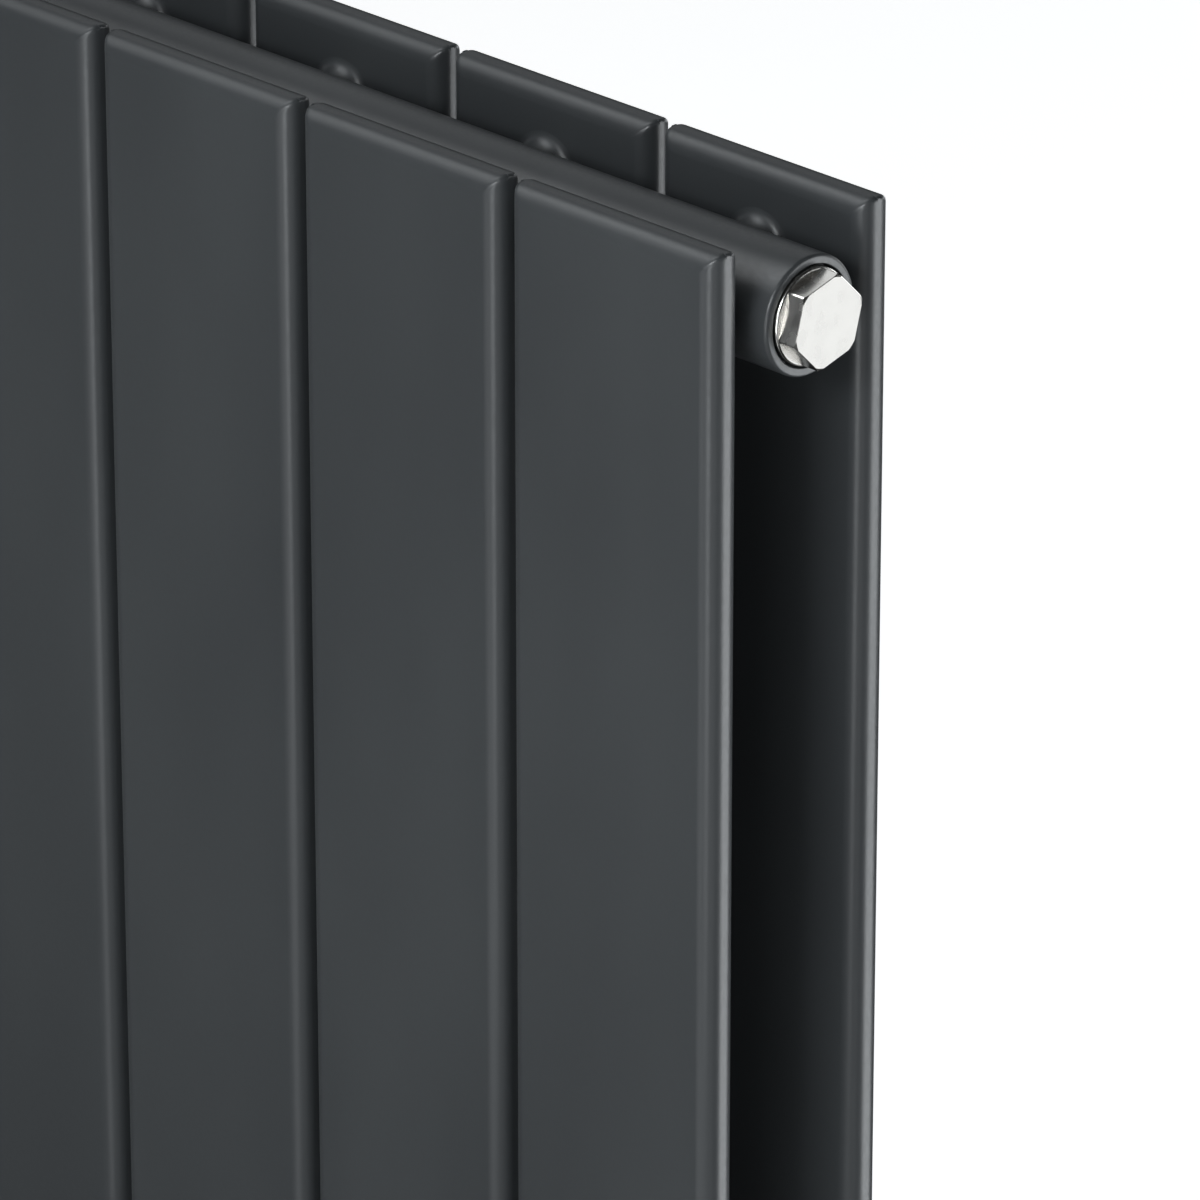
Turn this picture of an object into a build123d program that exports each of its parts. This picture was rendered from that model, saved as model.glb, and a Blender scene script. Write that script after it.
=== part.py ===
"""Double flat-panel radiator for hanging on a wall, in millimetres.

The origin is on the wall plane, at the centre of the four wall fixings. +X runs along the headers to the
radiator's right-hand end as seen from the room, -Y points from the wall into the room, and +Z is up.
"""
from build123d import *
import math
import os

os.makedirs("parts", exist_ok=True)

# Panels: flat tubes with rounded side edges, closed at both ends by pressed caps
panel_count = 8            # in each of the two rows
panel_width = 72.0
panel_gap = 4.0            # between neighbours in a row
panel_thick = 11.0
panel_height = 600.0       # over the caps
panel_wall = 1.5
side_flat = 1.0            # flat strip left between the two rounded edges of a panel's side
cap_height = 9.0
cap_top_wall = 3.0
cap_round_margin = 0.5     # the rounding over the cap's top is this much less than the side rounding

# Hexagon plugs and the threaded ends that hold them
hex_across = 22.0
hex_depth = 5.6
hex_chamfer = 0.9
hex_turn = -15.5           # where the hexagon stops when the plug is tight, in degrees about its axis
flange_margin = 0.2        # flange beyond the hexagon's corners, radially
flange_thick = 2.7
flange_sink = 2.0          # how far the flange goes into its recess
flange_chamfer = 0.5
flange_gap = 0.6           # round the flange, in its recess
recess_depth = 4.5
thread_bore_r = 9.316      # half-inch pipe thread, drawn plain at its minor radius
thread_fit = 0.04
thread_length = 13.0       # bush thread, from the recess floor to the inner end
plug_shank = 10.0
plug_hollow_r = 6.5
plug_hollow_floor = 3.0
rim_wall = 2.5             # rim left round the recess
rim_round = 1.7
spigot_length = 4.0        # of the bush, inside the header tube
spigot_fit = 0.1

# Headers and the nipples that join them to the panels
header_wall = 2.0
header_drop = 23.5         # from the panels' ends to the header's axis
header_proud = 2.5         # header's end face beyond the panels' outer edges
nipple_reach = 5.5         # shortest distance from header to panel face
nipple_r = 8.5
nipple_flare = 3.5         # how far the weld flare spreads on the panel, beyond the nipple
nipple_bore_r = 6.0

# Air vent in the top left end
nose_r = 6.5
nose_length = 6.4
nose_lip = 0.3             # lip that keeps the nozzle ring on
nose_lip_length = 0.8
ring_wall = 2.5
ring_fit = 0.06            # running fit of the ring on the nose
ring_end_gap = 0.1
spout_r = 2.2
spout_length = 5.0
vent_way_r = 0.9
ring_groove = 0.8
key_square = 5.0           # square of the bleed screw
key_recess_gap = 0.5       # round the square's corners
key_sink = 0.6             # square's end below the nose's end face
screw_r = 2.95
screw_fit = 0.05
screw_length = 12.0        # threaded part below the square
screw_pitch = 1.0
tip_length = 2.4
tip_nose_r = 1.2
tip_stem_r = 1.2
tip_stem_length = 2.0
seat_gap = 0.06
seat_way_r = 1.5

# Hanging lugs on the rear panels, and the wall brackets that hold them
wall_clear = 30.0          # from the wall to the back of the rear panels
lug_column = 1             # panel columns in from each end
lug_drop = 100.0           # from the panels' ends to the hanging pins
pin_r = 3.0
pin_standoff = 13.0        # from the back of the panel to the pin's axis
pin_head = 1.0             # pin's end beyond the ear
lug_base = 3.0
lug_half_height = 14.0
lug_ear = 2.5
ear_gap = 1.8              # from the bracket's arm to an ear
ear_edge = 5.0             # ear beyond the pin's surface
base_edge = 3.0            # base beyond the outside of an ear
bracket_thick = 3.0
bracket_width = 40.0
bracket_height = 70.0
arm_gap = 2.0              # from the arm's front to the lug's base
arm_top = 12.0             # arm's top above the pin's axis
arm_low = 12.0             # arm's front corner below the pin's axis
arm_shoulder = 5.0         # full-height strip of the arm at the wall
arm_prong = 3.6            # beside the notch
liner_wall = 1.2
liner_lip = 1.0            # lip against each side of the arm
pin_gap = 0.2              # round the pin, in the liner
fixing_slot_r = 3.5
fixing_slot_length = 16.0
bend_round = 4.0
corner_round = 5.0

# Sizes and places that follow from those above
pitch = panel_width + panel_gap
row_width = panel_count * pitch - panel_gap
edge_r = (panel_thick - side_flat) / 2
cap_round = edge_r - cap_round_margin
tube_half = panel_height / 2 - cap_height
hex_corner_r = hex_across / 2 / math.cos(math.radians(30))
flange_r = hex_corner_r + flange_margin
recess_r = flange_r + flange_gap
header_r = recess_r + rim_wall
header_bore_r = header_r - header_wall
row_clear = 2 * (header_r + nipple_reach)
rear_back_y = -wall_clear
rear_face_y = rear_back_y - panel_thick
front_back_y = rear_face_y - row_clear
rear_y = rear_back_y - panel_thick / 2
front_y = front_back_y - panel_thick / 2
header_y = rear_face_y - row_clear / 2
header_z = panel_height / 2 - header_drop
header_end = row_width / 2 + header_proud
bush_collar = recess_depth + thread_length - spigot_length
seal_section = recess_depth - flange_sink
seal_r = (thread_bore_r + recess_r) / 2
shank_r = thread_bore_r - thread_fit
hex_start = flange_thick - flange_sink
hex_end = hex_start + hex_depth
columns = [(i - (panel_count - 1) / 2) * pitch for i in range(panel_count)]
pin_y = rear_back_y + pin_standoff
pin_z = panel_height / 2 - lug_drop
notch_r = pin_r + pin_gap + liner_wall
arm_x = bracket_width / 2 - bracket_thick / 2
arm_front_y = rear_back_y + lug_base + arm_gap


def save(shape, name, color):
    """Write one node, a solid or a group of separate solids."""
    shape.label = name
    shape.color = Color(*color)
    export_step(shape, os.path.join("parts", name + ".step"))


PAINT = (0.16, 0.17, 0.18)
NICKEL = (0.8, 0.8, 0.78)
BLACK = (0.03, 0.03, 0.03)
ZINC = (0.6, 0.62, 0.64)


def rod(radius, start, end):
    """Cylinder along +X from start to end."""
    return Pos(start, 0, 0) * Rot(0, 90, 0) * Cylinder(
        radius, end - start, align=(Align.CENTER, Align.CENTER, Align.MIN))


def cross_rod(radius, start, end):
    """Cylinder along +Y from start to end."""
    return Pos(0, start, 0) * Rot(-90, 0, 0) * Cylinder(
        radius, end - start, align=(Align.CENTER, Align.CENTER, Align.MIN))


def group(shapes):
    """Separate solids that are one node."""
    return Compound(children=[solid for shape in shapes for solid in shape.solids()])


# ---- Panels -------------------------------------------------------------------------------------------

def panel_tube(inner_side):
    """Flat tube with a port to each header; inner_side is +1 or -1, the way from the panel to the header."""
    outside = extrude(RectangleRounded(panel_width, panel_thick, edge_r), tube_half, both=True)
    inside_sketch = RectangleRounded(
        panel_width - 2 * panel_wall, panel_thick - 2 * panel_wall, edge_r - panel_wall)
    tube = outside - extrude(inside_sketch, tube_half, both=True)
    near, far = sorted((0.0, inner_side * panel_thick))
    for level in (-header_z, header_z):
        tube -= Pos(0, 0, level) * cross_rod(nipple_bore_r, near, far)
    return tube


def end_cap():
    """Pressed cap on the top end of a panel: a rounded lid with a hollow underneath, its seam at Z = 0."""
    lid = extrude(RectangleRounded(panel_width, panel_thick, edge_r), cap_height)
    lid = fillet(lid.edges().group_by(Axis.Z)[-1], cap_round)
    hollow_sketch = RectangleRounded(
        panel_width - 2 * panel_wall, panel_thick - 2 * panel_wall, edge_r - panel_wall)
    return lid - extrude(hollow_sketch, cap_height - cap_round - cap_top_wall / 2)


front_tube = panel_tube(1)
rear_tube = panel_tube(-1)
for number, x in enumerate(columns, start=1):
    save(Pos(x, front_y, 0) * front_tube, f"front_panel_{number}", PAINT)
    save(Pos(x, rear_y, 0) * rear_tube, f"rear_panel_{number}", PAINT)

cap = end_cap()
for row, y in (("front", front_y), ("rear", rear_y)):
    save(group([Pos(x, y, tube_half) * cap for x in columns]), row + "_top_caps", PAINT)
    flipped = Rot(180, 0, 0) * cap
    save(group([Pos(x, y, -tube_half) * flipped for x in columns]), row + "_bottom_caps", PAINT)


# ---- Headers and nipples ------------------------------------------------------------------------------

def header_tube():
    """Tube between the two end bushes, with a port each way at every panel column."""
    half = header_end - bush_collar
    tube = rod(header_r, -half, half) - rod(header_bore_r, -half, half)
    for x in columns:
        tube -= Pos(x, 0, 0) * cross_rod(nipple_bore_r, -header_r, header_r)
    return tube


def end_bush():
    """Threaded bush for the right-hand end of a header; its outer face is at X = 0."""
    inner_end = -recess_depth - thread_length
    collar = fillet(rod(header_r, -bush_collar, 0).edges().group_by(Axis.X)[-1], rim_round)
    bush = collar + rod(header_bore_r - spigot_fit, inner_end, -bush_collar)
    bush -= rod(thread_bore_r, inner_end, 0)
    return bush - rod(recess_r, -recess_depth, 0)


def nipple():
    """Stub from a header on the X axis to the panel face on its +Y side, with the weld flare at the face."""
    face_y = row_clear / 2
    flare_start = face_y - nipple_flare
    stub = cross_rod(nipple_r, 0, face_y)
    flare = Pos(0, flare_start, 0) * Rot(-90, 0, 0) * Cone(
        nipple_r, nipple_r + nipple_flare, nipple_flare, align=(Align.CENTER, Align.CENTER, Align.MIN))
    solid = stub + flare - cross_rod(nipple_bore_r, 0, face_y)
    return solid - rod(header_r, -panel_width, panel_width)


header = header_tube()
bush_right = end_bush()
bush_left = Rot(0, 0, 180) * bush_right
stub_rear = nipple()
stub_front = Rot(0, 0, 180) * stub_rear
for level_name, z in (("top", header_z), ("bottom", -header_z)):
    save(Pos(0, header_y, z) * header, level_name + "_header", PAINT)
    save(Pos(header_end, header_y, z) * bush_right, level_name + "_right_bush", PAINT)
    save(Pos(-header_end, header_y, z) * bush_left, level_name + "_left_bush", PAINT)
    save(group([Pos(x, header_y, z) * stub_front for x in columns]), f"front_{level_name}_nipples", PAINT)
    save(group([Pos(x, header_y, z) * stub_rear for x in columns]), f"rear_{level_name}_nipples", PAINT)


# ---- Plugs --------------------------------------------------------------------------------------------

def hexagon_plug():
    """Plug for a right-hand end: shank, flange and chamfered hexagon; the bush's outer face is at X = 0."""
    shank_end = -flange_sink - plug_shank
    shank = rod(shank_r, shank_end, -flange_sink)
    flange = chamfer(rod(flange_r, -flange_sink, hex_start).edges().group_by(Axis.X)[-1], flange_chamfer)
    head = Rot(hex_turn, 0, 0) * Rot(0, 90, 0) * extrude(RegularPolygon(hex_corner_r, 6), hex_depth)
    crown = chamfer(rod(hex_corner_r, 0, hex_depth).edges().group_by(Axis.X)[-1], hex_chamfer)
    return shank + flange + Pos(hex_start, 0, 0) * (head & crown)


def seal_ring():
    """O-ring between the flange and the floor of the recess."""
    section = Pos(seal_section / 2 - recess_depth, seal_r) * Circle(seal_section / 2)
    return revolve(section, Axis.X, 360)


right_end = Pos(header_end, header_y, header_z)
left_end = Pos(-header_end, header_y, header_z) * Rot(0, 0, 180)

plug_inner_end = -flange_sink - plug_shank
plug = hexagon_plug() - rod(plug_hollow_r, plug_inner_end, -flange_sink - plug_hollow_floor)
save(right_end * plug, "blanking_plug", NICKEL)
save(right_end * seal_ring(), "blanking_o_ring", BLACK)
save(left_end * seal_ring(), "vent_o_ring", BLACK)

# Air vent: the same plug with a nose, a screw bore that ends in a seat, and a nozzle ring on the nose
nose_end = hex_end + nose_length
ring_start = hex_end + ring_end_gap
ring_end = nose_end - nose_lip_length - ring_end_gap
ring_middle = (ring_start + ring_end) / 2
key_r = key_square / math.sqrt(2)
key_recess_r = key_r + key_recess_gap
key_end = nose_end - key_sink
key_floor = hex_end
screw_end = key_floor - screw_length
tip_end = screw_end - tip_length
seat_x = tip_end - seat_gap


def vent_plug():
    """Plug body with the nose, the screw's bore and conical seat, and the side way to the nozzle."""
    lip = rod(nose_r + nose_lip, nose_end - nose_lip_length, nose_end)
    body = hexagon_plug() + rod(nose_r, hex_end, nose_end) + lip
    body -= rod(key_recess_r, key_floor, nose_end)
    body -= rod(screw_r + screw_fit, screw_end, key_floor)
    seat = Pos(seat_x, 0, 0) * Rot(0, 90, 0) * Cone(
        tip_nose_r, screw_r + screw_fit, screw_end - seat_x, align=(Align.CENTER, Align.CENTER, Align.MIN))
    body -= seat
    body -= rod(tip_nose_r, plug_inner_end, seat_x)
    return body - Pos(ring_middle, 0, 0) * Cylinder(
        vent_way_r, nose_r + nose_lip, align=(Align.CENTER, Align.CENTER, Align.MAX))


def nozzle_ring():
    """Ring on the nose with a groove inside and a spout that points down at rest."""
    ring_r = nose_r + ring_fit + ring_wall
    body = rod(ring_r, ring_start, ring_end)
    reach = ring_r + spout_length
    down = (Align.CENTER, Align.CENTER, Align.MAX)
    body += Pos(ring_middle, 0, 0) * Cylinder(spout_r, reach, align=down)
    body -= rod(nose_r + ring_fit, ring_start, ring_end)
    body -= rod(nose_r + ring_fit + ring_groove, ring_middle - vent_way_r, ring_middle + vent_way_r)
    return body - Pos(ring_middle, 0, 0) * Cylinder(vent_way_r, reach, align=down)


def bleed_screw():
    """Square for the key, threaded part with a flat that lets the air by, and a socket for the tip."""
    square = Pos((key_floor + key_end) / 2, 0, 0) * Box(key_end - key_floor, key_square, key_square)
    screw = square + rod(screw_r, screw_end, key_floor)
    flat_height = screw_r * 0.8
    screw -= Pos((screw_end + key_floor) / 2, 0, flat_height + screw_r / 2) * Box(
        screw_length, 2 * screw_r, screw_r)
    return screw - rod(tip_stem_r + screw_fit, screw_end, screw_end + tip_stem_length + seat_gap)


def seal_tip():
    """Soft cone that closes the seat, on a stem that the screw turns round."""
    cone = Pos(tip_end, 0, 0) * Rot(0, 90, 0) * Cone(
        tip_nose_r - seat_gap, screw_r - seat_gap, tip_length - seat_gap,
        align=(Align.CENTER, Align.CENTER, Align.MIN))
    return cone + rod(tip_stem_r, tip_end + tip_length - 2 * seat_gap, screw_end + tip_stem_length)


save(left_end * vent_plug(), "vent_plug", NICKEL)
save(left_end * nozzle_ring(), "vent_nozzle", (0.85, 0.85, 0.82))
save(left_end * bleed_screw(), "bleed_screw", (0.75, 0.6, 0.3))
save(left_end * seal_tip(), "bleed_seal_tip", (0.9, 0.9, 0.9))


# ---- Hanging lugs and wall brackets -------------------------------------------------------------------

def hanging_lug():
    """U-shaped lug welded to the back of a panel, about the pin's axis, with the panel on its -Y side."""
    ear_x = bracket_thick / 2 + ear_gap
    half_width = ear_x + lug_ear + base_edge
    back = -pin_standoff
    base = Pos(0, back + lug_base / 2, 0) * Box(2 * half_width, lug_base, 2 * lug_half_height)
    base = fillet(base.edges().filter_by(Axis.Y), base_edge)
    ear_reach = pin_r + ear_edge
    lug = base
    for side in (-1, 1):
        with_root = Pos(side * (ear_x + lug_ear / 2), (back + lug_base) / 2, 0) * Box(
            lug_ear, pin_standoff - lug_base, 2 * ear_reach)
        round_end = Pos(side * (ear_x + lug_ear / 2) - lug_ear / 2, 0, 0) * rod(ear_reach, 0, lug_ear)
        lug += with_root + round_end
    return lug - rod(pin_r, -half_width, half_width)


def hanging_pin():
    """Pin through both ears of a lug."""
    half = bracket_thick / 2 + ear_gap + lug_ear + pin_head
    return chamfer(rod(pin_r, -half, half).edges().filter_by(GeomType.CIRCLE), pin_head / 2)


def notch_shape(radius, depth):
    """U-shaped outline open at the top, about the pin's axis, drawn with Y across and Z up."""
    straight = Pos(0, arm_top / 2) * Rectangle(2 * radius, arm_top)
    return extrude(Plane.YZ * (Circle(radius) + straight), depth, both=True)


def wall_bracket():
    """L-shaped bracket with its arm at X = 0, about the pin's axis; the plate runs to -X on the wall."""
    wall_y = -pin_y
    front_y_local = arm_front_y - pin_y
    notch_back = notch_r + arm_prong
    plate = Pos(-arm_x, wall_y - bracket_thick / 2, 0) * Box(bracket_width, bracket_thick, bracket_height)
    outline = Polyline(
        (wall_y, -bracket_height / 2), (wall_y, bracket_height / 2),
        (wall_y - arm_shoulder, bracket_height / 2), (notch_back, arm_top), (front_y_local, arm_top),
        (front_y_local, -arm_low), (wall_y - arm_shoulder, -bracket_height / 2), close=True)
    arm = extrude(Plane.YZ * make_face(outline), bracket_thick / 2, both=True)
    bracket = plate + arm
    outer_edge = bracket.edges().filter_by(Axis.Z).sort_by(lambda e: e.center().X + e.center().Y)[-1]
    bracket = fillet(outer_edge, bend_round)
    free_corners = plate_corners(bracket, -arm_x - bracket_width / 2)
    bracket = fillet(free_corners, corner_round)
    slot = extrude(Plane.XZ * SlotOverall(fixing_slot_length, 2 * fixing_slot_r), pin_standoff * 4, both=True)
    bracket -= Pos(-arm_x, 0, 0) * slot
    return bracket - notch_shape(notch_r, bracket_thick)


def plate_corners(bracket, x):
    """The plate's two corner edges at the side given by x."""
    return bracket.edges().filter_by(Axis.Y).filter_by(lambda e: abs(e.center().X - x) < 0.01)


def notch_liner():
    """Plastic liner in the notch, with a lip against each side of the arm."""
    half = bracket_thick / 2
    web = notch_shape(notch_r, half) - notch_shape(notch_r - liner_wall, half)
    lip_shape = notch_shape(notch_r + liner_lip, half + liner_lip)
    lips = lip_shape - notch_shape(notch_r - liner_wall, half + liner_lip) - notch_shape(2 * notch_r, half)
    return web + lips


lug = hanging_lug()
pin = hanging_pin()
bracket_right = wall_bracket()
liner = notch_liner()
for side_name, side, column in (("left", -1, lug_column), ("right", 1, panel_count - 1 - lug_column)):
    for level_name, z in (("top", pin_z), ("bottom", -pin_z)):
        place = Pos(columns[column] + side * arm_x, pin_y, z)
        name = f"{level_name}_{side_name}"
        bracket = bracket_right if side > 0 else mirror(bracket_right, Plane.YZ)
        save(place * lug, name + "_lug", PAINT)
        save(place * pin, name + "_hanging_pin", ZINC)
        save(place * bracket, name + "_wall_bracket", ZINC)
        save(place * liner, name + "_bracket_liner", BLACK)

print("row width", row_width, "header radius", round(header_r, 3), "header Y", round(header_y, 3),
      "header Z", header_z, "fixings", columns[-1 - lug_column] * 2, "x", 2 * pin_z)
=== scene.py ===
# Double flat-panel radiator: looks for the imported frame
import math

import bmesh
import bpy
import numpy as np
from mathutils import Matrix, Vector


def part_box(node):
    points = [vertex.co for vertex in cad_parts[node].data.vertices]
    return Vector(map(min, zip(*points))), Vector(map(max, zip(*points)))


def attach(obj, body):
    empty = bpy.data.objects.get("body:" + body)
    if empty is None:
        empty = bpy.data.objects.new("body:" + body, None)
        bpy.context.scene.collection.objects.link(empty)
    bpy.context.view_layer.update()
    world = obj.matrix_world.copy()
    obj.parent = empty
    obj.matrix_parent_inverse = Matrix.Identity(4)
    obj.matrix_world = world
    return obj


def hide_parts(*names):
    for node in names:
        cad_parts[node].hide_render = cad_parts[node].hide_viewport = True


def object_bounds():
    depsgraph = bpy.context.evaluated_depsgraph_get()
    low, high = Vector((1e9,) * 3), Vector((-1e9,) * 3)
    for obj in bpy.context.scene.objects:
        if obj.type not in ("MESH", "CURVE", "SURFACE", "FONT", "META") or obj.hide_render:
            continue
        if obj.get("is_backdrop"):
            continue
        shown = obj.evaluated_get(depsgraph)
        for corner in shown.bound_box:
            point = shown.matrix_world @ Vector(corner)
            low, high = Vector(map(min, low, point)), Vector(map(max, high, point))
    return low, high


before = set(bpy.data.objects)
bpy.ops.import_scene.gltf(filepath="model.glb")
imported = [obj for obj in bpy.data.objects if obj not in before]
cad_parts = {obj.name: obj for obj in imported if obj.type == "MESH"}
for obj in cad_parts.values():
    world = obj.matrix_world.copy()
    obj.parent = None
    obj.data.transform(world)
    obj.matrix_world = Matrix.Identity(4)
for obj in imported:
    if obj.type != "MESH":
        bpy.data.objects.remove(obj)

cadLow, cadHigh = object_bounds()      # the CAD model's box, before anything is added
mm = 0.001                         # shapes are worked out in millimetres
print("stage: frame loaded,", len(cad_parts), "nodes")


def boxOf(node):
    # Lowest and highest corner of a CAD node, in millimetres
    low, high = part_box(node)
    return np.array(low) / mm, np.array(high) / mm


# Mesh making

def shellFaces(rows, cols, wrapRows, capStart, capEnd):
    # Quads between neighbouring rows and columns of a grid, plus one flat face over each closed end
    r = np.arange(rows if wrapRows else rows - 1)[:, None]
    c = np.arange(cols)[None, :]
    nextRow, nextCol = (r + 1) % rows, (c + 1) % cols
    quads = np.stack([r * cols + c, r * cols + nextCol, nextRow * cols + nextCol, nextRow * cols + c],
                     axis=-1)
    faces = quads.reshape(-1, 4).tolist()
    if capStart:
        faces.append(list(range(cols - 1, -1, -1)))
    if capEnd:
        faces.append(list(range((rows - 1) * cols, rows * cols)))
    return faces


def signedVolume(points, faces):
    # Sum over the faces of (first corner) . (second x third) / 6, fanned: positive when they face outwards
    volume = 0.0
    bySize = {}
    for face in faces:
        bySize.setdefault(len(face), []).append(face)
    for size, group in bySize.items():
        corners = points[np.array(group)]
        for k in range(1, size - 1):
            cross = np.cross(corners[:, k], corners[:, k + 1])
            volume += np.einsum("ij,ij->", corners[:, 0], cross) / 6
    return volume


def shell(points, wrapRows=False, capStart=True, capEnd=True):
    # A closed surface from a grid of points (rows, columns, 3) that wraps round its columns
    rows, cols = points.shape[:2]
    ends = not wrapRows
    faces = shellFaces(rows, cols, wrapRows, capStart and ends, capEnd and ends)
    flat = points.reshape(-1, 3)
    if signedVolume(flat - flat.mean(axis=0), faces) < 0:
        faces = [face[::-1] for face in faces]
    return flat, faces


def buildPiece(name, shells, material, sharpAngle=32.0):
    # One mesh object from several closed surfaces given in millimetres
    points, faces, offset = [], [], 0
    for flat, own in shells:
        points.append(flat)
        faces.extend([[i + offset for i in face] for face in own])
        offset += len(flat)
    mesh = bpy.data.meshes.new(name)
    mesh.from_pydata((np.concatenate(points) * mm).tolist(), [], faces)
    mesh.validate()
    mesh.shade_smooth()
    mesh.set_sharp_from_angle(angle=math.radians(sharpAngle))
    mesh.materials.append(material)
    piece = bpy.data.objects.new(name, mesh)
    bpy.context.scene.collection.objects.link(piece)
    return piece


def finishPiece(piece, body, slotName, *nodes):
    # The piece rides on its body and stands for its CAD nodes
    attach(piece, body)
    if nodes:
        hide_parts(*nodes)
    return piece


def roundedPath(corners, radii, steps=6):
    # A closed outline: each corner (a, b) is replaced by an arc of its radius between its two tangent points
    out = []
    count = len(corners)
    for i in range(count):
        here = np.array(corners[i], float)
        before = np.array(corners[i - 1], float) - here
        after = np.array(corners[(i + 1) % count], float) - here
        radius = radii[i] if hasattr(radii, "__len__") else radii
        if radius <= 0:
            out.append(here[None])
            continue
        before, after = before / np.linalg.norm(before), after / np.linalg.norm(after)
        half = math.acos(np.clip(before @ after, -1, 1)) / 2
        centre = here + (before + after) / np.linalg.norm(before + after) * radius / math.sin(half)
        start = here + before * radius / math.tan(half) - centre
        end = here + after * radius / math.tan(half) - centre
        a0, a1 = math.atan2(start[1], start[0]), math.atan2(end[1], end[0])
        turn = (a1 - a0 + math.pi) % (2 * math.pi) - math.pi
        angle = a0 + turn * np.linspace(0, 1, steps + 1)
        out.append(centre + radius * np.stack([np.cos(angle), np.sin(angle)], axis=1))
    return np.concatenate(out)


def turned(path, cols=96, radiusAdd=None):
    # A path of (x, radius) turned about the X axis: y = r cos a, z = r sin a.
    # radiusAdd(x, r, a) adds a thread or a flute
    angle = np.linspace(0, 2 * np.pi, cols, endpoint=False)[None, :]
    x, r = path[:, 0:1] + 0 * angle, path[:, 1:2] + 0 * angle
    if radiusAdd is not None:
        r = r + radiusAdd(x, r, angle)
    return np.stack([x, r * np.cos(angle), r * np.sin(angle)], axis=-1)


def atEnd(points, end, side):
    # Local +X points out of a header's end; side -1 turns it half way round Z to face the other way
    return points * np.array([side, side, 1.0]) + np.array(end)


# Materials

def newMaterial(name, values):
    # A principled surface with its constant values set on its own sockets
    material = bpy.data.materials.new(name)
    material.use_nodes = True
    nodes = material.node_tree.nodes
    shader = nodes["Principled BSDF"]
    for socket, value in values.items():
        shader.inputs[socket].default_value = value
    material.diffuse_color = (*values["Base Color"][:3], 1)
    return material, nodes, material.node_tree.links, shader


def noiseAt(nodes, links, scale, detail=2.0, stretch=None):
    # Noise on object coordinates, optionally stretched along an axis
    coords = nodes.new("ShaderNodeTexCoord")
    noise = nodes.new("ShaderNodeTexNoise")
    noise.inputs["Scale"].default_value = scale
    noise.inputs["Detail"].default_value = detail
    if stretch is None:
        links.new(coords.outputs["Object"], noise.inputs["Vector"])
    else:
        mapping = nodes.new("ShaderNodeMapping")
        mapping.inputs["Scale"].default_value = stretch
        links.new(coords.outputs["Object"], mapping.inputs["Vector"])
        links.new(mapping.outputs["Vector"], noise.inputs["Vector"])
    return noise


def rangeOf(nodes, links, source, low, high, fromLow=0.35, fromHigh=0.65):
    # Maps the middle of a noise to a range
    ramp = nodes.new("ShaderNodeMapRange")
    ramp.inputs["From Min"].default_value = fromLow
    ramp.inputs["From Max"].default_value = fromHigh
    ramp.inputs["To Min"].default_value = low
    ramp.inputs["To Max"].default_value = high
    links.new(source, ramp.inputs["Value"])
    return ramp.outputs["Result"]


def addBump(nodes, links, shader, layers):
    # Bumps in a chain; each layer is (height output, strength, distance in metres)
    last = None
    for height, strength, distance in layers:
        bump = nodes.new("ShaderNodeBump")
        bump.inputs["Strength"].default_value = strength
        bump.inputs["Distance"].default_value = distance
        links.new(height, bump.inputs["Height"])
        if last is not None:
            links.new(last.outputs["Normal"], bump.inputs["Normal"])
        last = bump
    links.new(last.outputs["Normal"], shader.inputs["Normal"])


def tint(nodes, links, shader, source, dark, light):
    # Base colour varies gently between two tones
    mix = nodes.new("ShaderNodeMix")
    mix.data_type = "RGBA"
    mix.inputs["A"].default_value = (*dark, 1)
    mix.inputs["B"].default_value = (*light, 1)
    links.new(source, mix.inputs["Factor"])
    links.new(mix.outputs["Result"], shader.inputs["Base Color"])


# Sizes are noise scales, bumps are (strength, depth in metres), and spreads multiply a piece's own roughness
powderCoat = {"dark": (0.0275, 0.0300, 0.0320), "light": (0.0335, 0.0365, 0.0385), "roughness": (0.34, 0.40),
              "peelSize": 900.0, "grainSize": 4200.0, "rollSize": 14.0, "rollStretch": (1.0, 1.0, 0.35),
              "peelBump": (0.10, 0.00012), "grainBump": (0.08, 0.00003)}
plateTexture = {"streakSize": 1600.0, "softSize": 220.0, "spread": (0.88, 1.18), "dullTone": 0.97,
                "depth": 0.00002}
mouldTexture = {"broadPart": 20, "spread": (0.85, 1.15), "bump": (0.15, 0.00003)}


def makePowderCoat():
    # Satin anthracite powder coat: fine orange peel, finer grain, and a slow unevenness of the sheet beneath
    p = powderCoat
    values = {"Base Color": (*p["light"], 1), "Roughness": sum(p["roughness"]) / 2, "Specular IOR Level": 0.5}
    material, nodes, links, shader = newMaterial("anthracitePowderCoat", values)
    broad = noiseAt(nodes, links, p["rollSize"], 3.0, p["rollStretch"]).outputs["Fac"]
    peel = noiseAt(nodes, links, p["peelSize"], 2.0).outputs["Fac"]
    grain = noiseAt(nodes, links, p["grainSize"], 2.0).outputs["Fac"]
    tint(nodes, links, shader, rangeOf(nodes, links, broad, 0.0, 1.0), p["dark"], p["light"])
    links.new(rangeOf(nodes, links, peel, *p["roughness"]), shader.inputs["Roughness"])
    addBump(nodes, links, shader, [(peel, *p["peelBump"]), (grain, *p["grainBump"])])
    return material


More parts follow.
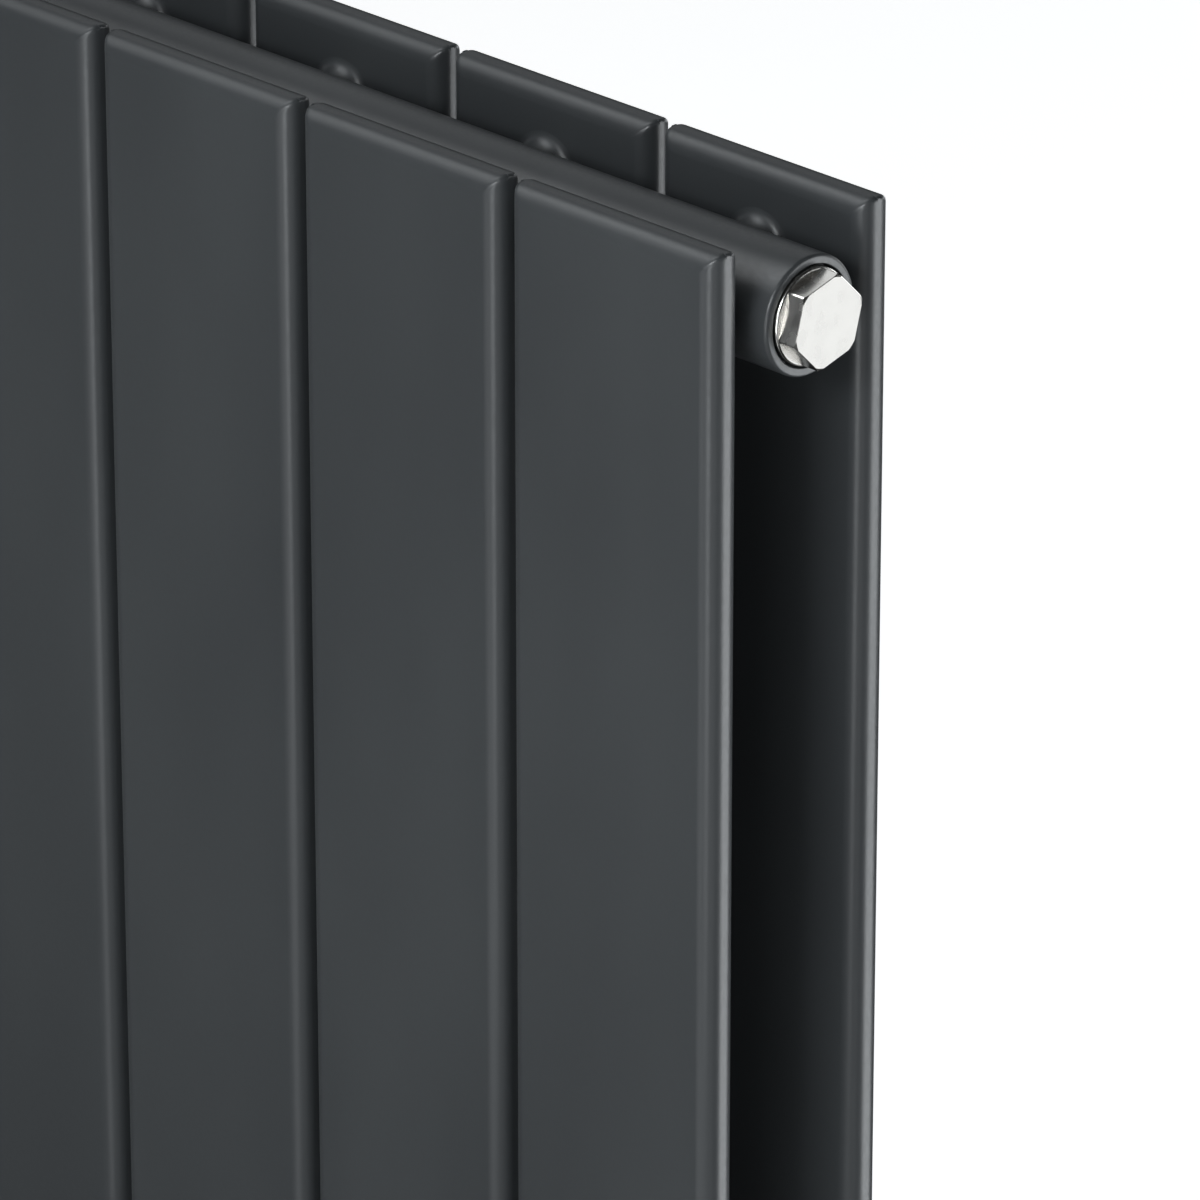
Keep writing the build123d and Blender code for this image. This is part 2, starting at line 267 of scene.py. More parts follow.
def makePlate(name, colour, roughness, streak, bump):
    # Plated or bare metal: reflective, with the fine streaks that turning, polishing or rolling leaves
    p = plateTexture
    material, nodes, links, shader = newMaterial(
        name, {"Base Color": (*colour, 1), "Metallic": 1.0, "Roughness": roughness})
    fine = noiseAt(nodes, links, p["streakSize"], 3.0, streak).outputs["Fac"]
    soft = noiseAt(nodes, links, p["softSize"], 2.0).outputs["Fac"]
    low, high = (roughness * part for part in p["spread"])
    links.new(rangeOf(nodes, links, soft, low, high), shader.inputs["Roughness"])
    dull = tuple(c * p["dullTone"] for c in colour)
    tint(nodes, links, shader, rangeOf(nodes, links, soft, 0.0, 1.0), dull, colour)
    addBump(nodes, links, shader, [(fine, bump, p["depth"])])
    return material


def makePlastic(name, dark, light, roughness, size):
    # Moulded plastic or rubber: fine spark texture and a little colour variation
    p = mouldTexture
    material, nodes, links, shader = newMaterial(name, {"Base Color": (*light, 1), "Roughness": roughness})
    fine = noiseAt(nodes, links, size, 3.0).outputs["Fac"]
    broad = noiseAt(nodes, links, size / p["broadPart"], 2.0).outputs["Fac"]
    tint(nodes, links, shader, rangeOf(nodes, links, broad, 0.0, 1.0), dark, light)
    low, high = (roughness * part for part in p["spread"])
    links.new(rangeOf(nodes, links, fine, low, high), shader.inputs["Roughness"])
    addBump(nodes, links, shader, [(fine, *p["bump"])])
    return material


plateFinishes = {   # colour, roughness, stretch of the streaks, strength of their bump
    "polishedNickel": ((0.88, 0.855, 0.815), 0.24, (1.0, 0.25, 0.25), 0.10),
    "brightZinc": ((0.60, 0.62, 0.66), 0.38, (0.3, 1.0, 0.12), 0.03),
    "machinedBrass": ((0.78, 0.58, 0.26), 0.22, (1.0, 0.2, 0.2), 0.08),
}
mouldFinishes = {   # darker tone, lighter tone, roughness, noise scale of the spark texture
    "blackRubber": ((0.008, 0.008, 0.008), (0.014, 0.014, 0.014), 0.55, 3000.0),
    "blackPlastic": ((0.012, 0.012, 0.013), (0.02, 0.02, 0.021), 0.42, 2600.0),
    "whitePlastic": ((0.74, 0.74, 0.71), (0.80, 0.80, 0.77), 0.38, 2600.0),
    "tipPlastic": ((0.78, 0.78, 0.75), (0.84, 0.84, 0.81), 0.35, 2600.0),
}
coat = makePowderCoat()
nickel, zinc, brass = [makePlate(name, *values) for name, values in plateFinishes.items()]
blackRubber, linerPlastic, whitePlastic, tipPlastic = [
    makePlastic(name, *values) for name, values in mouldFinishes.items()]
print("stage: materials made")


# Panels and their end caps

panelShape = {"edgeRadius": 5.0, "cornerRadius": 0.9, "creaseBlend": 1.4, "bead": 0.05, "beadWidth": 0.55,
              "edgeSteps": 40, "faceSteps": 14, "support": 0.3, "tubeRows": 7}
panelCount = sum(1 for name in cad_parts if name.startswith("front_panel_"))


def blendedMin(a, b, reach):
    # min(a, b), rounded off where the two are within reach of each other
    near = np.maximum(reach - np.abs(a - b), 0) / reach
    return np.maximum(np.minimum(a, b) - near * near * reach / 4, 0)


def panelRings(low, high, depths):
    # Sections of a panel at given depths below its end. At distance s inside the outline the half
    # thickness is h = t/2 - r + sqrt(r^2 - (r - s)^2), and s is the nearer of the side edge and the end,
    # which mitres them. A low ground weld bead, b exp(-d^2 / w^2), runs along the mitre
    edge = panelShape["edgeRadius"]
    step = np.linspace(0, np.pi / 2, panelShape["edgeSteps"] + 1)
    near = np.append(edge * (1 - np.cos(step)), edge + panelShape["support"])
    halfWidth, halfThick = (high[0] - low[0]) / 2, (high[1] - low[1]) / 2
    rc = panelShape["cornerRadius"]
    q = np.asarray(depths, float)[:, None]
    corner = np.minimum(q, rc)
    w = halfWidth - (rc - np.sqrt(np.maximum(rc ** 2 - (rc - corner) ** 2, 0)))
    middle = np.linspace(1, -1, panelShape["faceSteps"] + 1)[None, 1:-1] * (w - near[-1])
    x = np.concatenate([w - near[None, :], middle, near[None, ::-1] - w], axis=1)
    s = blendedMin(w - np.abs(x), q, panelShape["creaseBlend"])
    h = halfThick - edge + np.sqrt(np.maximum(edge ** 2 - (edge - np.minimum(s, edge)) ** 2, 0))
    fromMitre = (w - np.abs(x) - q) / panelShape["beadWidth"]
    h += panelShape["bead"] * np.exp(-fromMitre ** 2) * np.sin(np.pi * np.clip(s / edge, 0, 1))
    x, y = np.concatenate([x, x[:, ::-1]], axis=1), np.concatenate([-h, h[:, ::-1]], axis=1)
    middleX, middleY = (low[0] + high[0]) / 2, (low[1] + high[1]) / 2
    return np.stack([x + middleX, y + middleY, 0 * x - q], axis=-1)


def panelTube(low, high):
    # The same section all the way up
    rings = panelRings(low, high, np.full(panelShape["tubeRows"], high[2] - low[2]))   # far below the end
    rings[:, :, 2] = np.linspace(low[2], high[2], panelShape["tubeRows"])[:, None]
    return shell(rings)


def endCap(low, high, capHeight, upward):
    # Sections from the seam to the end, the last ones closing over the rounding
    edge = panelShape["edgeRadius"]
    step = np.linspace(np.pi / 2, 0, panelShape["edgeSteps"] + 1)
    depths = np.concatenate([[capHeight, edge + panelShape["support"]], edge * (1 - np.cos(step))])
    rings = panelRings(low, high, depths)
    end = high[2] + capHeight if upward else low[2] - capHeight
    rings[:, :, 2] = end + rings[:, :, 2] * (1 if upward else -1)
    return shell(rings)


for row in ("front", "rear"):
    boxes = [boxOf(f"{row}_panel_{i + 1}") for i in range(panelCount)]
    for i, (low, high) in enumerate(boxes):
        tube = buildPiece(f"{row}PanelTube{i + 1}", [panelTube(low, high)], coat)
        finishPiece(tube, "radiator", "painted_steel", f"{row}_panel_{i + 1}")
    for level, upward in (("top", True), ("bottom", False)):
        capLow, capHigh = boxOf(f"{row}_{level}_caps")
        height = capHigh[2] - capLow[2]
        caps = buildPiece(f"{row}{level.title()}Caps",
                          [endCap(low, high, height, upward) for low, high in boxes], coat, 60.0)
        finishPiece(caps, "radiator", "painted_steel", f"{row}_{level}_caps")
print("stage: panels and end caps made")


# Headers, end bushes and nipples

headerShape = {"wall": 2.0}
bushShape = {"recessRadius": 13.5, "recessDepth": 4.5, "boreRadius": 9.75, "rimRound": 1.1, "collar": 13.5,
             "spigotFit": 0.1, "leadIn": 0.8, "threadStart": 1.0, "threadEnd": 0.4, "threadPitch": 1.814,
             "threadDepth": 0.9, "threadSteps": 8, "plainBore": 1.2}
nippleShape = {"radius": 8.5, "panelFlare": 4.2, "headerFlare": 2.2, "waist": 0.4, "taper": 0.4,
               "headerSink": 0.3, "panelSink": 0.05, "steps": 12}


def threadWave(depth, pitch, sharpness=1.3):
    # Rounded groove along a helix: -depth * ((1 + cos(2 pi x / pitch - a)) / 2) ^ sharpness
    return lambda x, r, a: -depth * (0.5 + 0.5 * np.cos(2 * np.pi * x / pitch - a)) ** sharpness


def endBush(low, high, side):
    # Collar with a rounded rim, the seal's recess, and a threaded bore
    b = bushShape
    outer = (high[2] - low[2]) / 2
    length = high[0] - low[0]
    spigot = outer - headerShape["wall"] - b["spigotFit"]
    corners = [(-length, b["boreRadius"]), (-length, spigot), (-b["collar"], spigot), (-b["collar"], outer),
               (0, outer), (0, b["recessRadius"]), (-b["recessDepth"], b["recessRadius"]),
               (-b["recessDepth"], b["boreRadius"] + b["leadIn"]),
               (-b["recessDepth"] - b["leadIn"], b["boreRadius"])]
    radii = [0.3, 0.3, 0, 0, b["rimRound"], 0.35, 0.2, 0.1, 0]
    path = roundedPath(corners, radii, 8)
    threadRows = int((length - b["recessDepth"] - b["plainBore"]) / b["threadPitch"] * b["threadSteps"])
    bore = np.linspace(-b["recessDepth"] - b["threadStart"], -length + b["threadEnd"], threadRows)
    path = np.concatenate([path, np.stack([bore, 0 * bore + b["boreRadius"]], axis=1)])
    wave = threadWave(b["threadDepth"], b["threadPitch"])
    inBore = np.zeros(len(path), bool)
    inBore[-threadRows + 1:-1] = True

    def ridge(x, r, a):
        return wave(x, r, a) * inBore[:, None]

    face = high[0] if side > 0 else low[0]
    centre = ((low[1] + high[1]) / 2, (low[2] + high[2]) / 2)
    return shell(atEnd(turned(path, 96, ridge), (face, *centre), side), wrapRows=True)


def headerTube(low, high):
    # A plain tube between the two bushes
    outer = (high[2] - low[2]) / 2
    inner = outer - headerShape["wall"]
    corners = [(low[0], inner), (low[0], outer), (high[0], outer), (high[0], inner)]
    points = turned(np.array(corners, float), 128)
    points += np.array([0, (low[1] + high[1]) / 2, (low[2] + high[2]) / 2])
    return shell(points, wrapRows=True)


def nipple(x, headerY, headerZ, headerRadius, faceY):
    # A stub along Y. Its wall leaves the header and meets the panel on quadratic curves, so the welds
    # blend in: p(t) = (1-t)^2 p0 + 2t(1-t) p1 + t^2 p2, with p1 in the corner
    n = nippleShape
    way = 1.0 if faceY > headerY else -1.0
    angle = np.linspace(0, 2 * np.pi, 64, endpoint=False)
    reach = abs(faceY - headerY)

    def onHeader(radius):
        return np.sqrt(headerRadius ** 2 - (radius * np.sin(angle)) ** 2)

    foot, wall = n["radius"] + n["headerFlare"], n["radius"]
    wide = n["radius"] + n["panelFlare"]
    start = np.stack([0 * angle + foot, onHeader(foot) - n["headerSink"]], axis=-1)
    cornerLow = np.stack([0 * angle + wall, onHeader(wall)], axis=-1)
    span = reach - onHeader(wall)
    split = onHeader(wall) + span * n["waist"]
    middle = np.stack([0 * angle + wall, split], axis=-1)
    cornerHigh = np.stack([0 * angle + wall + n["taper"], 0 * angle + reach], axis=-1)
    end = np.stack([0 * angle + wide, 0 * angle + reach + n["panelSink"]], axis=-1)
    t = np.linspace(0, 1, n["steps"] + 1)[:, None, None]
    lower = (1 - t) ** 2 * start + 2 * t * (1 - t) * cornerLow + t ** 2 * middle
    upper = (1 - t) ** 2 * middle + 2 * t * (1 - t) * cornerHigh + t ** 2 * end
    path = np.concatenate([lower, upper[1:]])
    r, along = path[..., 0], path[..., 1]
    points = np.stack([x + r * np.cos(angle), headerY + way * along, headerZ + r * np.sin(angle)], axis=-1)
    return shell(points)


columnX = [float(sum(b[0] for b in boxOf(f"front_panel_{i + 1}")) / 2) for i in range(panelCount)]
for level in ("top", "bottom"):
    low, high = boxOf(f"{level}_header")
    piece = buildPiece(f"{level}HeaderTube", [headerTube(low, high)], coat)
    finishPiece(piece, "radiator", "painted_steel", f"{level}_header")
    radius, axisY, axisZ = (high[2] - low[2]) / 2, (low[1] + high[1]) / 2, (low[2] + high[2]) / 2
    for row, corner in (("front", 1), ("rear", 0)):
        faceY = boxOf(f"{row}_panel_1")[corner][1]
        stubs = [nipple(x, axisY, axisZ, radius, faceY) for x in columnX]
        piece = buildPiece(f"{row}{level.title()}Nipples", stubs, coat, 50.0)
        finishPiece(piece, "radiator", "painted_steel", f"{row}_{level}_nipples")
    for side, sign in (("left", -1), ("right", 1)):
        low, high = boxOf(f"{level}_{side}_bush")
        piece = buildPiece(f"{level}{side.title()}Bush", [endBush(low, high, sign)], coat, 40.0)
        finishPiece(piece, "radiator", "painted_steel", f"{level}_{side}_bush")
print("stage: headers, bushes and nipples made")


# Plugs, seals and the air vent

plugShape = {"hexApothem": 11.0, "hexDepth": 5.6, "hexStart": 0.7, "hexTurn": 14.5, "faceLimit": 11.8,
             "edgeBreak": 0.14, "flangeRadius": 12.9, "flangeSink": 2.0, "shankRadius": 10.3,
             "shankLength": 10.0, "shankChamfer": 0.9, "reliefRadius": 9.2, "reliefLength": 1.0,
             "threadDepth": 0.95, "threadPitch": 1.814, "threadRows": 60}
sealShape = {"section": 2.5, "inner": 9.316, "outer": 13.5, "depth": 4.5}
ventShape = {"noseRadius": 6.5, "noseLength": 6.4, "lip": 0.3, "lipLength": 0.8, "keyRecess": 4.04,
             "ringFit": 0.06, "ringWall": 2.5, "ringGap": 0.1, "spoutRadius": 2.2, "spoutLength": 5.0,
             "spoutBore": 0.9, "keySquare": 5.0, "keySink": 0.6, "screwRadius": 2.95, "screwLength": 12.0,
             "screwFit": 0.06, "screwPitch": 1.0, "screwThread": 0.35, "tipLength": 2.4,
             "flutes": 18, "fluteDepth": 0.22}


def hexHead(inner=None):
    # Hexagon: r(a) = apothem / cos(a - middle of side), with its edges broken, and its corners cut back
    # by a 30 degree cone
    p = plugShape
    limit = p["hexApothem"] / math.cos(math.pi / 6) - p["edgeBreak"]
    half = math.acos(p["hexApothem"] / limit)
    side = np.linspace(-half, half, 19)
    offset = (side[None, :] + np.radians(60 * np.arange(6) + 30)[:, None]).ravel()
    angle = offset + math.radians(p["hexTurn"])
    r = p["hexApothem"] / np.cos(np.tile(side, 6))
    faceR = np.minimum(r - p["edgeBreak"], p["faceLimit"])
    cut = np.maximum(p["edgeBreak"], (r - p["faceLimit"]) * math.tan(math.pi / 6))
    x0, x1 = p["hexStart"] - 0.2, p["hexStart"] + p["hexDepth"]
    rows = [(x0 + 0 * r, r), (x0 + 0.6 + 0 * r, r), (x1 - cut - 0.25, r), (x1 - cut, r), (x1 + 0 * r, faceR),
            (x1 + 0 * r, faceR - 0.3)]
    if inner is not None:
        rows += [(x1 + 0 * r, inner + 0 * r), (x0 + 0 * r, inner + 0 * r)]
    x, radius = np.stack([row[0] for row in rows]), np.stack([row[1] for row in rows])
    points = np.stack([x, radius * np.cos(angle), radius * np.sin(angle)], axis=-1)
    return points


def plugShank():
    # Flange with a broken front edge, and the threaded shank behind it, closed at both ends
    p = plugShape
    back, under, count = -p["flangeSink"] - p["shankLength"], -p["flangeSink"], p["threadRows"]
    thread = np.linspace(back + p["shankChamfer"], under - p["reliefLength"] - 0.2, count)
    path = np.concatenate([
        [(back, 6.5), (back, p["shankRadius"] - p["shankChamfer"])],
        np.stack([thread, 0 * thread + p["shankRadius"]], axis=1),
        [(under - p["reliefLength"], p["reliefRadius"]), (under, p["reliefRadius"])],
        roundedPath([(under, 9.5), (under, p["flangeRadius"]), (p["hexStart"], p["flangeRadius"]),
                     (p["hexStart"], 9.5)], [0, 0.25, 0.7, 0], 8)[0:-1],
        [(p["hexStart"], 7.0)]])
    threaded = np.zeros(len(path), bool)
    threaded[2:count + 2] = True
    wave = threadWave(p["threadDepth"], p["threadPitch"])
    return path, lambda x, r, a: wave(x, r, a) * threaded[:, None]


def sealRing():
    # A torus: x = c + s cos b, radius = m + s sin b
    s = sealShape
    around = np.linspace(0, 2 * np.pi, 24, endpoint=False)
    tube = s["section"] / 2
    middle = (s["inner"] + s["outer"]) / 2
    path = np.stack([tube - s["depth"] + tube * np.cos(around), middle + tube * np.sin(around)], axis=1)
    return turned(path, 96)


def endPoint(side):
    # Centre of a top bush's outer face
    low, high = boxOf("top_right_bush" if side > 0 else "top_left_bush")
    return (high[0] if side > 0 else low[0], (low[1] + high[1]) / 2, (low[2] + high[2]) / 2)


shankPath, shankThread = plugShank()
rightEnd, leftEnd = endPoint(1), endPoint(-1)
plug = buildPiece("blankingPlug", [
    shell(atEnd(turned(shankPath, 96, shankThread), rightEnd, 1)),
    shell(atEnd(hexHead(), rightEnd, 1))], nickel, 22.0)
finishPiece(plug, "radiator", "nickel_plate", "blanking_plug")
for name, end, side in (("blanking", rightEnd, 1), ("vent", leftEnd, -1)):
    ring = buildPiece(name + "SealRing", [shell(atEnd(sealRing(), end, side), wrapRows=True)], blackRubber)
    finishPiece(ring, "radiator", "seal_rubber", name + "_o_ring")

v = ventShape
hexEnd = plugShape["hexStart"] + plugShape["hexDepth"]
noseEnd = hexEnd + v["noseLength"]


def ventNose():
    # Nose with its lip, and the recess that the screw's square stands in
    corners = [(hexEnd - 1.0, v["keyRecess"]), (hexEnd - 1.0, v["noseRadius"]),
               (noseEnd - v["lipLength"], v["noseRadius"]),
               (noseEnd - v["lipLength"], v["noseRadius"] + v["lip"]),
               (noseEnd, v["noseRadius"] + v["lip"]), (noseEnd, v["keyRecess"])]
    return turned(roundedPath(corners, [0, 0, 0, 0.1, 0.3, 0.3], 6), 72)


def recessFloor():
    # Disc that closes the recess, with the screw's bore through it
    inner, outer = v["screwRadius"] + v["screwFit"], v["keyRecess"] + 0.3
    corners = [(hexEnd - 1.2, inner), (hexEnd - 1.2, outer), (hexEnd, outer), (hexEnd, inner)]
    return turned(np.array(corners), 72)


def nozzleRing():
    # Ring round the nose with rounded edges and shallow grip flutes: r = r0 - d cos^4(n a / 2) outside
    inner, outer = v["noseRadius"] + v["ringFit"], v["noseRadius"] + v["ringFit"] + v["ringWall"]
    start, end = hexEnd + v["ringGap"], noseEnd - v["lipLength"] - v["ringGap"]
    path = roundedPath([(start, inner), (start, outer), (end, outer), (end, inner)], [0.2, 0.5, 0.5, 0.2], 6)
    outside = (path[:, 1:2] - inner) / (outer - inner)
    return turned(path, 144, lambda x, r, a: -v["fluteDepth"] * outside * np.cos(v["flutes"] / 2 * a) ** 4)


def spout():
    # Short tube from the ring, straight down at rest, with a rounded mouth
    middle = (hexEnd + v["ringGap"] + noseEnd - v["lipLength"] - v["ringGap"]) / 2
    outer = v["noseRadius"] + v["ringFit"] + v["ringWall"]
    path = roundedPath([(outer - 1.2, v["spoutBore"]), (outer - 1.2, v["spoutRadius"]),
                        (outer + v["spoutLength"], v["spoutRadius"] - 0.25),
                        (outer + v["spoutLength"], v["spoutBore"])], [0, 0, 0.4, 0.2], 6)
    points = turned(path, 40)
    return np.stack([middle + points[..., 2], points[..., 1], -points[..., 0]], axis=-1)


def bleedScrew():
    # Square with rounded edges, r(a) = half side / max(|cos a|, |sin a|) up to a limit, on a round
    # threaded part
    squareCols = np.linspace(0, 2 * np.pi, 96, endpoint=False) + np.pi / 96
    side = v["keySquare"] / 2
    r = np.minimum(side / np.maximum(np.abs(np.cos(squareCols)), np.abs(np.sin(squareCols))), side * 1.33)
    x1 = noseEnd - v["keySink"]
    rows = [(hexEnd - 0.2 + 0 * r, r), (x1 - 0.35 + 0 * r, r), (x1 - 0.12 + 0 * r, r - 0.08),
            (x1 + 0 * r, r - 0.3)]
    x, radius = np.stack([row[0] for row in rows]), np.stack([row[1] for row in rows])
    square = np.stack([x, radius * np.cos(squareCols), radius * np.sin(squareCols)], axis=-1)
    along = np.linspace(hexEnd - v["screwLength"], hexEnd - 0.1, 97)
    wave = threadWave(v["screwThread"], v["screwPitch"])
    shank = turned(np.stack([along, 0 * along + v["screwRadius"]], axis=1), 40, wave)
    return square, shank


def sealTip():
    # Soft cone on the end of the screw
    end = hexEnd - v["screwLength"]
    point = end - v["tipLength"]
    path = roundedPath([(point, 0.4), (point, 1.15), (end - 0.1, 2.85), (end - 0.1, 0.4)],
                       [0, 0.3, 0.2, 0], 5)
    return turned(path, 48)


ventBody = buildPiece("ventPlug", [
    shell(atEnd(turned(shankPath, 96, shankThread), leftEnd, -1)),
    shell(atEnd(hexHead(v["keyRecess"] + 1.0), leftEnd, -1), wrapRows=True),
    shell(atEnd(ventNose(), leftEnd, -1), wrapRows=True),
    shell(atEnd(recessFloor(), leftEnd, -1), wrapRows=True)], nickel, 22.0)
finishPiece(ventBody, "radiator", "nickel_plate", "vent_plug")
nozzle = buildPiece("ventNozzle", [shell(atEnd(nozzleRing(), leftEnd, -1), wrapRows=True),
                                   shell(atEnd(spout(), leftEnd, -1), wrapRows=True)], whitePlastic)
finishPiece(nozzle, "vent_nozzle", "nozzle_plastic", "vent_nozzle")
squareEnd, screwShank = bleedScrew()
screw = buildPiece("bleedScrew", [shell(atEnd(squareEnd, leftEnd, -1)),
                                  shell(atEnd(screwShank, leftEnd, -1))], brass)
finishPiece(screw, "bleed_screw", "bleed_brass", "bleed_screw")
tip = buildPiece("bleedSealTip", [shell(atEnd(sealTip(), leftEnd, -1), wrapRows=True)], tipPlastic)
finishPiece(tip, "bleed_tip", "tip_plastic", "bleed_seal_tip")
print("stage: plugs and air vent made")


# Hanging pins, lugs and wall brackets

hangingShape = {"pinRound": 0.6, "lugEdge": 0.35, "bracketEdge": 0.3, "linerEdge": 0.2, "edgeSteps": 2}


def hangingPin(low, high):
    # Rod along X with rounded ends
    r, edge = (high[2] - low[2]) / 2, hangingShape["pinRound"]
    path = roundedPath([(low[0], edge), (low[0], r), (high[0], r), (high[0], edge)], [0, edge, edge, 0], 6)
    points = turned(path, 48) + np.array([0, (low[1] + high[1]) / 2, (low[2] + high[2]) / 2])
    return shell(points)


def softenedCopy(node, name, material, edge):
    # A copy of a CAD node with its doubles merged and its edges slightly rounded by a bevel
    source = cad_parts[node]
    mesh = source.data.copy()
    mesh.name = name
    piece = bpy.data.objects.new(name, mesh)
    bpy.context.scene.collection.objects.link(piece)
    bpy.context.view_layer.objects.active = piece
    work = bmesh.new()
    work.from_mesh(mesh)
    bmesh.ops.remove_doubles(work, verts=work.verts, dist=0.00001)
    bmesh.ops.dissolve_limit(work, angle_limit=math.radians(1.0), verts=work.verts, edges=work.edges)
    work.to_mesh(mesh)
    work.free()
    mesh.materials.clear()
    mesh.materials.append(material)
    mesh.shade_smooth()
    mesh.set_sharp_from_angle(angle=math.radians(35))
    bevel = piece.modifiers.new("softEdges", "BEVEL")
    bevel.width = edge * mm
    bevel.segments = hangingShape["edgeSteps"]
    bevel.limit_method = "ANGLE"
    bevel.angle_limit = math.radians(40)
    bevel.harden_normals = True
    return piece


for level in ("top", "bottom"):
    for side in ("left", "right"):
        place, word, h = f"{level}_{side}", level + side.title(), hangingShape
        pin = buildPiece(word + "HangingPin", [hangingPin(*boxOf(place + "_hanging_pin"))], zinc)
        finishPiece(pin, "radiator", "zinc_plate", place + "_hanging_pin")
        lug = softenedCopy(place + "_lug", word + "Lug", coat, h["lugEdge"])
        finishPiece(lug, "radiator", "painted_steel", place + "_lug")
        bracket = softenedCopy(place + "_wall_bracket", word + "WallBracket", zinc, h["bracketEdge"])
        finishPiece(bracket, "wall_brackets", "zinc_plate", place + "_wall_bracket")
        liner = softenedCopy(place + "_bracket_liner", word + "BracketLiner", linerPlastic, h["linerEdge"])
        finishPiece(liner, "wall_brackets", "liner_plastic", place + "_bracket_liner")
print("stage: hanging parts made")


# Floor, light and camera
studio = {"floorColour": (0.90, 0.905, 0.91), "floorGlow": 0.66, "floorDrop": 0.0005,
          "backdropGrey": 0.93, "surroundGrey": 0.012, "lightColour": (0.965, 1.0, 1.025),
          "cameraAzimuth": 44.8, "cameraElevation": 24.05, "cameraDistance": 2.214, "lens": 271.3,
          "aimRight": -0.0276, "aimUp": -0.0832}
# Each soft box: azimuth and elevation it stands at, distance, width, height, radiance, what it is aimed
# at, which is a shift in metres from the front row's top right corner, and which pieces it lights
softBoxes = {
    "sideTall": (135, -22, 1.0, 0.55, 1.3, 5.0, (0, 0, 0), "notNickel"),
    "gapFill": (60, -18, 1.1, 0.30, 1.0, 0.8, (0, 0, 0), "all"),
    "frontLow": (30, -14, 2.0, 0.70, 0.9, 7.0, (-0.1, 0, 0), "all"),
    "frontWide": (-5, 20, 2.0, 1.20, 1.0, 1.8, (0, 0, 0), "all"),
    "frontNear": (5, 20, 0.9, 0.50, 0.5, 2.0, (0, 0, 0), "all"),
    "creaseSpot": (14, 27, 1.0, 0.30, 0.3, 21.0, (0, 0, 0), "all"),
    "overLeft": (-58, 42, 2.0, 1.20, 1.2, 1.3, (0, 0, 0), "all"),
    "overHigh": (-75, 60, 2.0, 1.20, 1.2, 2.4, (0, 0, 0), "all"),
    "leftLow": (-45, -24, 0.8, 0.30, 0.7, 1.0, (0.45, 0, -0.1), "all"),
    "overBack": (225, 30, 2.0, 1.40, 1.0, 0.5, (0, 0, 0), "all"),
    "wallSide": (186, 2, 2.5, 1.50, 1.0, 2.6, (0, 0, -0.2), "all"),
    "farEnd": (262, 2, 2.5, 1.20, 1.0, 1.4, (0, 0, -0.2), "all"),
    "plugSide": (135, -22, 1.0, 0.55, 1.3, 1.1, (0, 0, 0), "nickel"),
    "plugLeft": (-40, 0, 2.0, 1.30, 1.0, 0.75, (0, 0, 0), "nickel"),
    "plugOver": (-120, 42, 2.0, 1.20, 1.0, 0.35, (0, 0, 0), "nickel"),
}


def direction(azimuth, elevation):
    # Unit vector from the object towards azimuth (0 is -Y, 90 is +X) and elevation, in degrees
    a, e = math.radians(azimuth), math.radians(elevation)
    return Vector((math.sin(a) * math.cos(e), -math.cos(a) * math.cos(e), math.sin(e)))


frontLow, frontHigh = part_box("front_top_caps")
corner = Vector((frontHigh[0], frontLow[1], frontHigh[2]))   # top right corner of the front row


def makeCamera():
    # Looks at the top right corner from the right of the front, and down
    back = direction(studio["cameraAzimuth"], studio["cameraElevation"])
    right = Vector((-back[1], back[0], 0)).normalized()
    up = back.cross(right)
    data = bpy.data.cameras.new("cornerCamera")
    data.sensor_width = 36.0
    data.lens = studio["lens"]
    data.clip_start, data.clip_end = 0.05, 200.0
    camera = bpy.data.objects.new("cornerCamera", data)
    bpy.context.scene.collection.objects.link(camera)
    camera.rotation_mode = "QUATERNION"
    camera.rotation_quaternion = (-back).to_track_quat("-Z", "Y")
    aim = corner + right * studio["aimRight"] + up * studio["aimUp"]
    camera.location = aim + back * studio["cameraDistance"]
    bpy.context.scene.camera = camera


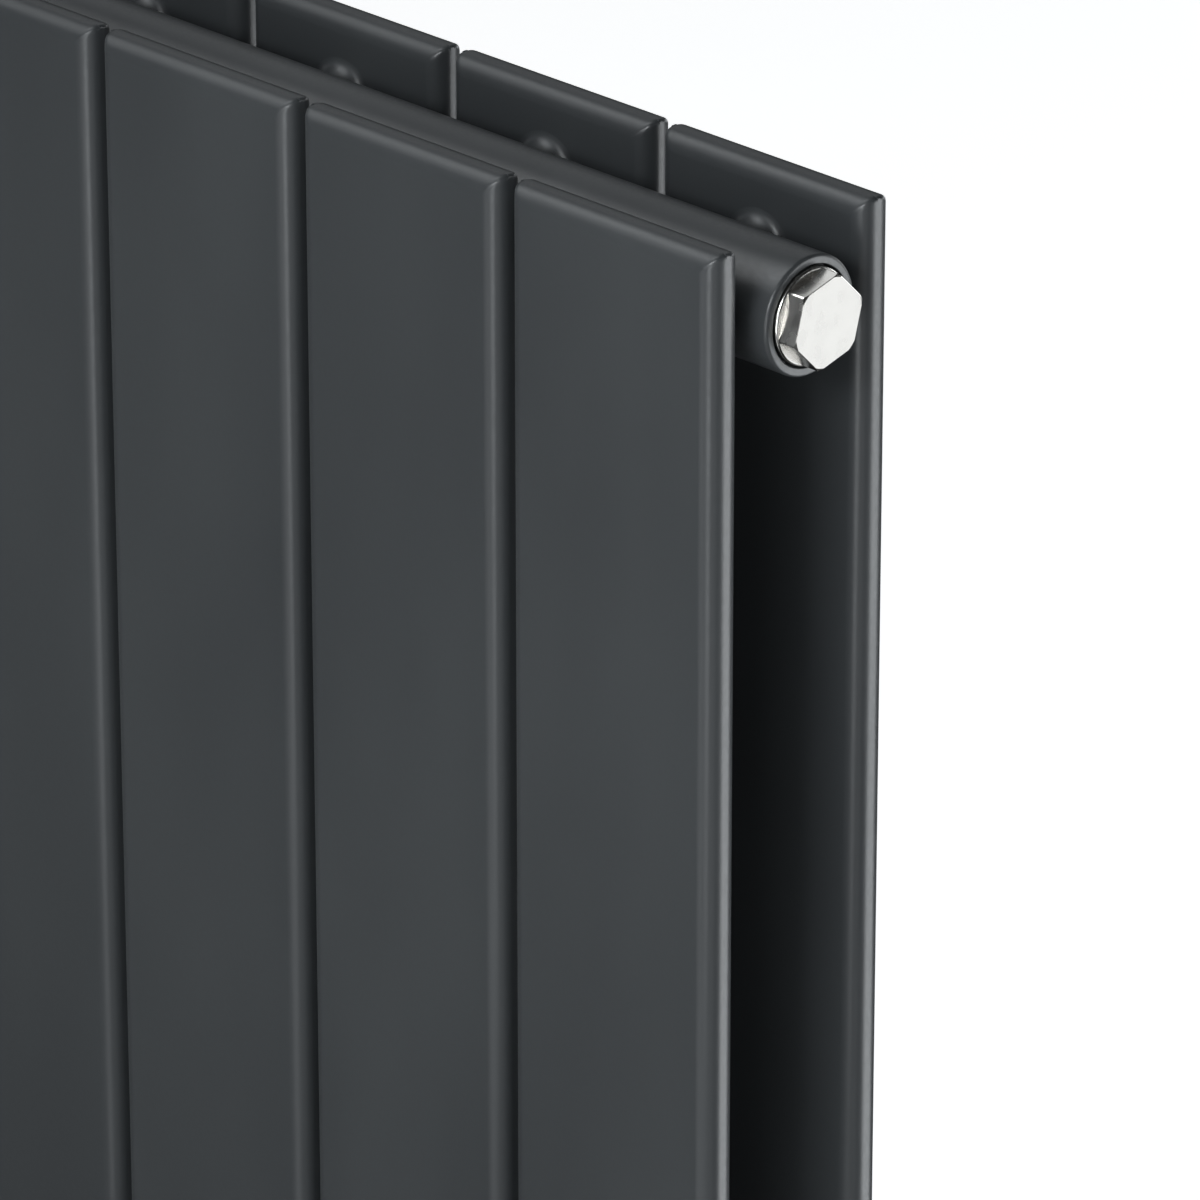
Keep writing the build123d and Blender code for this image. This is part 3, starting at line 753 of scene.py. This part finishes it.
def makeFloor():
    # One large pale plane just under the object
    size, z = 30.0, cadLow[2] - studio["floorDrop"]
    mesh = bpy.data.meshes.new("studioFloor")
    corners = [(-size, -size, z), (size, -size, z), (size, size, z), (-size, size, z)]
    mesh.from_pydata(corners, [], [(0, 1, 2, 3)])
    material, nodes, links, shader = newMaterial("paleFloor", {
        "Base Color": (*studio["floorColour"], 1), "Roughness": 0.8, "Specular IOR Level": 0.1,
        "Emission Color": (1, 1, 1, 1), "Emission Strength": studio["floorGlow"]})
    mesh.materials.append(material)
    floor = bpy.data.objects.new("studioFloor", mesh)
    bpy.context.scene.collection.objects.link(floor)
    floor.visible_glossy = False
    floor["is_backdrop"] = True


def lightGroup(name, state):
    # The two nickel pieces, for lights that fall on them only (INCLUDE) or on everything else (EXCLUDE)
    group = bpy.data.collections.new(name)
    for piece in (plug, ventBody):
        group.objects.link(piece)
    for member in group.collection_objects:
        member.light_linking.link_state = state
    return group


lightGroups = {"nickel": lightGroup("nickel", "INCLUDE"), "notNickel": lightGroup("notNickel", "EXCLUDE")}


def softBox(name, azimuth, elevation, distance, width, height, strength, aim, lights):
    # A soft rectangular light that stands at a direction and distance from what it is aimed at
    data = bpy.data.lights.new(name, "AREA")
    data.shape = "RECTANGLE"
    data.size, data.size_y = width, height
    data.color = studio["lightColour"]
    data.energy = strength * width * height * math.pi   # strength is its radiance
    light = bpy.data.objects.new(name, data)
    bpy.context.scene.collection.objects.link(light)
    way = direction(azimuth, elevation)
    light.rotation_mode = "QUATERNION"
    light.rotation_quaternion = way.to_track_quat("Z", "Y")
    light.location = corner + Vector(aim) + way * distance
    light.visible_camera = False
    if lights != "all":
        light.light_linking.receiver_collection = lightGroups[lights]


def makeWorld():
    # Pale where it is seen directly, and dark grey for everything that it lights
    world = bpy.data.worlds.new("studio")
    world.use_nodes = True
    nodes, links = world.node_tree.nodes, world.node_tree.links
    background = nodes["Background"]
    path, grey = nodes.new("ShaderNodeLightPath"), nodes.new("ShaderNodeMapRange")
    grey.inputs["To Min"].default_value = studio["surroundGrey"]
    grey.inputs["To Max"].default_value = studio["backdropGrey"]
    links.new(path.outputs["Is Camera Ray"], grey.inputs["Value"])
    links.new(grey.outputs["Result"], background.inputs["Strength"])
    background.inputs["Color"].default_value = (1, 1, 1, 1)
    bpy.context.scene.world = world


makeCamera()
makeFloor()
makeWorld()
for name, values in softBoxes.items():
    softBox(name, *values)
bpy.context.scene.view_settings.view_transform = "Standard"
print("stage: studio made")

low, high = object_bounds()
